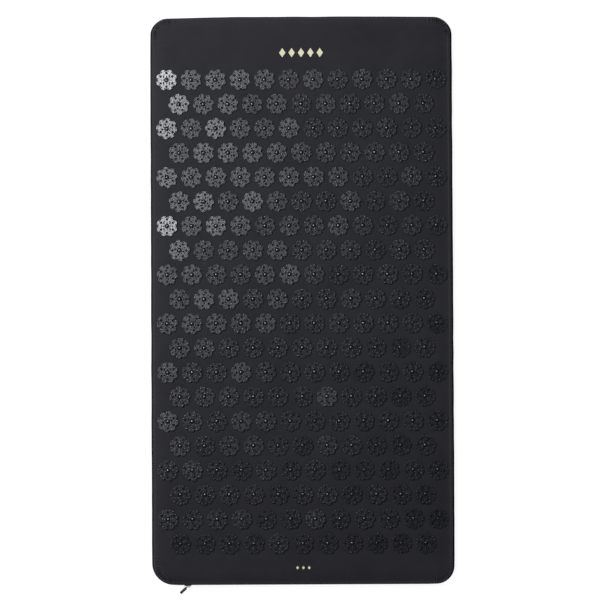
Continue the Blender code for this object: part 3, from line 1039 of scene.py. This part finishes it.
tools = []
for holes, radius in ((wide_holes, wide_hole_radius), (narrow_holes, narrow_hole_radius)):
    for distance, angle in holes:
        bpy.ops.mesh.primitive_cylinder_add(
            vertices=12, radius=radius, depth=tool_length, location=polar(distance, angle, 0))
        tools.append(bpy.context.object)
bpy.ops.mesh.primitive_torus_add(
    major_segments=24, minor_segments=4, major_radius=groove_radius, minor_radius=groove_half_width,
    location=(0, 0, plate_top))
tools.append(bpy.context.object)
hole_tool = joined(tools, "hole_tool")
modify(disc, "BOOLEAN", operation="DIFFERENCE", object=hole_tool, solver="EXACT")
bpy.data.objects.remove(hole_tool)
for vert in disc.data.vertices:
    vert.co.z += plate_warp * (vert.co.x ** 2 - vert.co.y ** 2) / disc_radius ** 2
bpy.ops.object.shade_smooth_by_angle(angle=radians(14))
print("disc with", len(wide_holes) + len(narrow_holes), "holes:", len(disc.data.polygons), "faces")

# %% Disc points
petal_points = [(12.5 * MM, (share + 0.5) * pi / 8) for share in range(16)]
middle_points = [(7.6 * MM, share * pi / 3) for share in range(6)]
inner_points = [(4.6 * MM, share * pi / 2) for share in range(4)]
centre_point = [(0.0, 0.0)]
point_sides = 8
boss_sides = 16
root = -0.3
point_rings_mm = (
    (0.98, root), (0.98, 0.0), (0.70, 0.045), (0.56, 0.13), (0.47, 0.30), (0.15, 3.80), (0.08, 4.20))
boss_rings_mm = ((1.75, root), (1.75, 0.0), (1.40, 0.125), (0.95, 0.24), (0.45, 0.315))


def round_shape(rings_mm, sides):
    """A round shape with an upright axis, from the radius and height of each of its rings."""
    length = len(rings_mm) - 1
    bpy.ops.mesh.primitive_cone_add(
        vertices=sides, radius1=1, radius2=1, depth=length, location=(0, 0, length / 2))
    shape = bpy.context.object
    apply_place(shape)
    edit(shape)
    pick("EDGE", longer_than(0.5, 2))
    bpy.ops.mesh.subdivide(number_cuts=length - 1)
    for number, (radius, height) in enumerate(rings_mm):
        pick("VERT", lambda vert, number=number: abs(vert.co.z - number) < 0.1 and vert.co.xy.length > 0.5)
        bpy.ops.transform.resize(value=(radius * MM, radius * MM, 1), center_override=(0, 0, 0))
        bpy.ops.transform.translate(value=(0, 0, height * MM - number))
    bpy.ops.object.mode_set(mode="OBJECT")
    bpy.ops.object.shade_smooth_by_angle(angle=radians(50))
    return shape


point = round_shape(point_rings_mm, point_sides)
boss = round_shape(boss_rings_mm, boss_sides)
boss.location = (0, 0, plate_top)
points = []
for distance, angle in petal_points + middle_points + inner_points + centre_point:
    points.append(copy_of(point))
    points[-1].location = polar(distance, angle, plate_top)
bpy.data.objects.remove(point)
disc = joined([disc, boss] + points, "disc")
print("one disc:", len(disc.data.polygons), "faces,", len(points), "points")

# %% [markdown]
# ## Rows of discs
#
# A worker or a machine sets each disc by itself, so no two are turned alike, and each leans a degree or
# so with the soft foam under it. That lean is what makes one of them shine more than the next, because
# a black disc is a small mirror. The outermost discs of a long row sit where the cloth begins to fall to
# the edge, so they lean outwards as well. The leans are drawn from a seeded generator, so that they are
# the same in every run.

# %% Disc rows
disc_turn = radians(137.5)
lean_at_edge = radians(2.0)
lean_spread = radians(1.0)
draw = random.Random(347)

for row in range(row_count):
    copies = []
    for place in range(long_row_count - row % 2):
        x, y = disc_place(row, place)
        lean_x = draw.gauss(0, lean_spread)
        lean_y = draw.gauss(0, lean_spread)
        if abs(x) > half_width - disc_diameter:
            lean_x += lean_at_edge * x / abs(x)
        turn = (row * long_row_count + place) * disc_turn
        copies.append(copy_of(disc))
        copies[-1].data.transform(
            Matrix.Translation((x, y, face_z + face_wave(x, y)))
            @ Matrix.Rotation(lean_x, 4, "Y")
            @ Matrix.Rotation(-lean_y, 4, "X")
            @ Matrix.Rotation(turn, 4, "Z"))
    disc_row = joined(copies, f"spiked_discs_row_{row + 1:02d}")
    disc_row.data.name = disc_row.name
    disc_row.data.materials.clear()
    disc_row.data.materials.append(disc_plastic)
    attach(disc_row, "mat")
bpy.data.objects.remove(disc)
print("discs:", sum(long_row_count - row % 2 for row in range(row_count)))

# %% [markdown]
# ## Zip strips and tapes
#
# Above and below the zip the cover is closed by a narrow strip of canvas, its edge folded in and stitched
# down, with the tape of the zip behind it. Each starts as a cube of the node's own size. The strip is cut
# into short lengths and its folded edge is thickened, and small bevels round both.

# %% Zip strips and tapes
fold_swell = 0.5 * MM
fold_from_mouth = 0.8 * MM
fold_reach = 1.4 * MM
pucker_length = 11 * MM
pucker_depth = 0.15 * MM
strip_height_cuts = 3
strip_length_cuts = 70


def boxed(name):
    """A cube of the size and at the place of a node of the frame."""
    low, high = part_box(name)
    bpy.ops.mesh.primitive_cube_add(size=1, location=[(a + b) / 2 for a, b in zip(low, high)])
    made = bpy.context.object
    made.scale = [b - a for a, b in zip(low, high)]
    apply_place(made)
    return made


def mouth_height(word, side):
    """How high the edge of a strip lies that faces the zip."""
    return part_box("zip_strip_" + word)[0 if side > 0 else 1][2]


for word, side in (("upper", 1), ("lower", -1)):
    strip = boxed("zip_strip_" + word)
    edit(strip)
    pick("EDGE", longer_than(1 * MM, 2))
    bpy.ops.mesh.subdivide(number_cuts=strip_height_cuts)
    pick("EDGE", longer_than(10 * MM, 0))
    bpy.ops.mesh.subdivide(number_cuts=strip_length_cuts)
    bpy.ops.object.mode_set(mode="OBJECT")
    fold_z = mouth_height(word, side) + side * fold_from_mouth
    for vert in strip.data.vertices:
        if vert.co.y < strip_low[1] + 0.2 * MM:
            near_fold = max(1 - abs(vert.co.z - fold_z) / fold_reach, 0.0)
            pucker = noise.noise(Vector((vert.co.x / pucker_length, side, 0))) * pucker_depth
            vert.co.y -= fold_swell * near_fold + abs(pucker)
    round_edges(strip, 0.3 * MM, 50)
    finish_piece(
        strip, "cover_zip_strip_" + word, canvas, nodes=["zip_strip_" + word], smooth_angle=60)

    tape = boxed("zip_tape_" + word)
    round_edges(tape, 0.15 * MM, 50)
    finish_piece(tape, "woven_tape_" + word, tape_finish, nodes=["zip_tape_" + word])

# %% [markdown]
# ## Stitching
#
# A row of stitches holds the fold of each strip down on the tape. One stitch is a short grain of thread,
# a sphere of few faces stretched along the seam, and Array repeats it at the stitch length.

# %% Stitching
stitch_length = 3.2 * MM
stitch_gap = 0.5 * MM
stitch_thickness = 0.45 * MM
stitch_from_fold = 2.0 * MM
stitch_proud = 0.25 * MM
seam_ends = 4 * MM

stitch_pitch = stitch_length + stitch_gap
count = int((2 * zip_end_x - seam_ends) / stitch_pitch)
for word, side in (("upper", 1), ("lower", -1)):
    start = (
        -(count - 1) / 2 * stitch_pitch, strip_low[1] - stitch_proud,
        mouth_height(word, side) + side * stitch_from_fold)
    bpy.ops.mesh.primitive_ico_sphere_add(subdivisions=1, radius=0.5, location=start)
    stitch = bpy.context.object
    stitch.scale = (stitch_length, stitch_thickness, stitch_thickness)
    apply_place(stitch)
    repeat(stitch, count, stitch_pitch)
    finish_piece(stitch, "zip_stitching_" + word, thread_finish, smooth_angle=80)

# %% [markdown]
# ## Coils
#
# The teeth of a coil zip are the turns of a nylon spiral, sewn along the edge of each tape, and the turns
# of one side hook between those of the other. One turn is a thin ring, stretched across the tape and
# slanted by half a pitch, and Array makes the row.

# %% Coils
turn_pitch = 1.6 * MM
turn_slant = 0.12
wire_radius = 0.3 * MM
hook_reach = 0.25 * MM

for word, side in (("upper", 1), ("lower", -1)):
    low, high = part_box("zip_coil_" + word)
    far_z = high[2] if side > 0 else low[2]
    near_z = side_middle_z - side * hook_reach
    ring_half = abs(far_z - near_z) / 2 - wire_radius
    ring_depth = (high[1] - low[1]) / 2 - wire_radius
    count = int((high[0] - low[0]) / turn_pitch) - 1
    start_x = low[0] + turn_pitch * (0.5 if side > 0 else 1.0)
    bpy.ops.mesh.primitive_torus_add(
        major_segments=10, minor_segments=5, major_radius=ring_half, minor_radius=wire_radius,
        rotation=(0, pi / 2, 0), location=(start_x, (low[1] + high[1]) / 2, (far_z + near_z) / 2))
    coil = bpy.context.object
    only(coil)
    bpy.ops.object.transform_apply(location=False, rotation=True, scale=False)
    for vert in coil.data.vertices:
        vert.co.y *= (ring_depth + wire_radius) / (ring_half + wire_radius)
        vert.co.x += vert.co.z / ring_half * turn_pitch * turn_slant
    repeat(coil, count, turn_pitch)
    finish_piece(
        coil, "nylon_coil_" + word, coil_finish, nodes=["zip_coil_" + word], smooth_angle=80)

# %% [markdown]
# ## Metal pieces
#
# The slider, the stops and the wire link have their true shapes in the frame already. A casting has no
# sharp edges, though, so each is copied, its loose triangles are merged and its flat faces joined, and on
# all but the wire link a fine bevel rounds every edge.

# %% Metal pieces
def eased_copy(name, width):
    """A copy of a node with merged faces and rounded edges."""
    mesh = frame["nodes"][name].data.copy()
    made = bpy.data.objects.new(name + "_eased", mesh)
    bpy.context.scene.collection.objects.link(made)
    edit(made)
    bpy.ops.mesh.select_all(action="SELECT")
    bpy.ops.mesh.remove_doubles(threshold=0.01 * MM)
    bpy.ops.mesh.dissolve_limited(angle_limit=radians(1))
    bpy.ops.object.mode_set(mode="OBJECT")
    if width:
        round_edges(made, width, 40)
    return made


for name, new_name, width, body in (
    ("zip_slider", "slider_casting", 0.12 * MM, "slider"),
    ("zip_top_stop_upper", "top_stop_clip_upper", 0.1 * MM, "mat"),
    ("zip_top_stop_lower", "top_stop_clip_lower", 0.1 * MM, "mat"),
    ("zip_bottom_stop", "bottom_stop_clip", 0.1 * MM, "mat"),
    ("zip_pull_link", "pull_wire_link", 0, "pull"),
):
    finish_piece(eased_copy(name, width), new_name, zinc_finish, body=body, nodes=[name])

# %% [markdown]
# ## Pull grip
#
# The pull ends in a moulded grip with four swells, so that wet fingers hold it. A long cube is cut across
# into eight lengths, every second ring of verts is drawn in, and two levels of subdivision turn the
# steps into beads. It starts a little way from the slider's eye, which leaves room to swing. It is made
# lying along X, then turned to hang from the eye.

# %% Pull grip
pull_angle = radians(42)
grip_start = 3.25 * MM
grip_reach = 14.5 * MM
grip_width = 5.6 * MM
grip_thickness = 5.0 * MM
grip_swells = 4
waist_share = 0.7
tip_share = 0.8
width_keeps = 0.25

hinge = next(joint for joint in frame["joints"] if joint["name"] == "pull_swing")
bpy.ops.mesh.primitive_cube_add(size=1)
grip = bpy.context.object
grip.scale = (grip_reach - grip_start, grip_thickness, grip_width)
apply_place(grip)
edit(grip)
pick("EDGE", longer_than(1 * MM, 0))
bpy.ops.mesh.subdivide(number_cuts=2 * grip_swells - 1)
half_reach = (grip_reach - grip_start) / 2
ring_pitch = half_reach / grip_swells


def at_ring(vert, number):
    """Whether a vert belongs to a ring of the grip, counted from the end near the slider."""
    return abs(vert.co.x + half_reach - number * ring_pitch) < ring_pitch / 4


for number in range(0, 2 * grip_swells + 1, 2):
    share = tip_share if number == 2 * grip_swells else waist_share
    pick("VERT", lambda vert, number=number: at_ring(vert, number))
    bpy.ops.transform.resize(value=(1, share, share + width_keeps), center_override=(0, 0, 0))
bpy.ops.object.mode_set(mode="OBJECT")
modify(grip, "SUBSURF", levels=2, render_levels=2)
grip.rotation_euler = (0, 0, pi + pull_angle)
grip_middle = (grip_start + grip_reach) / 2
hinge_place = Vector(hinge["pos_m"])
grip.location = hinge_place + Vector((-cos(pull_angle), -sin(pull_angle), 0)) * grip_middle
finish_piece(
    grip, "pull_moulded_grip", grip_finish, body="pull", nodes=["zip_pull_grip"],
    smooth_angle=80)
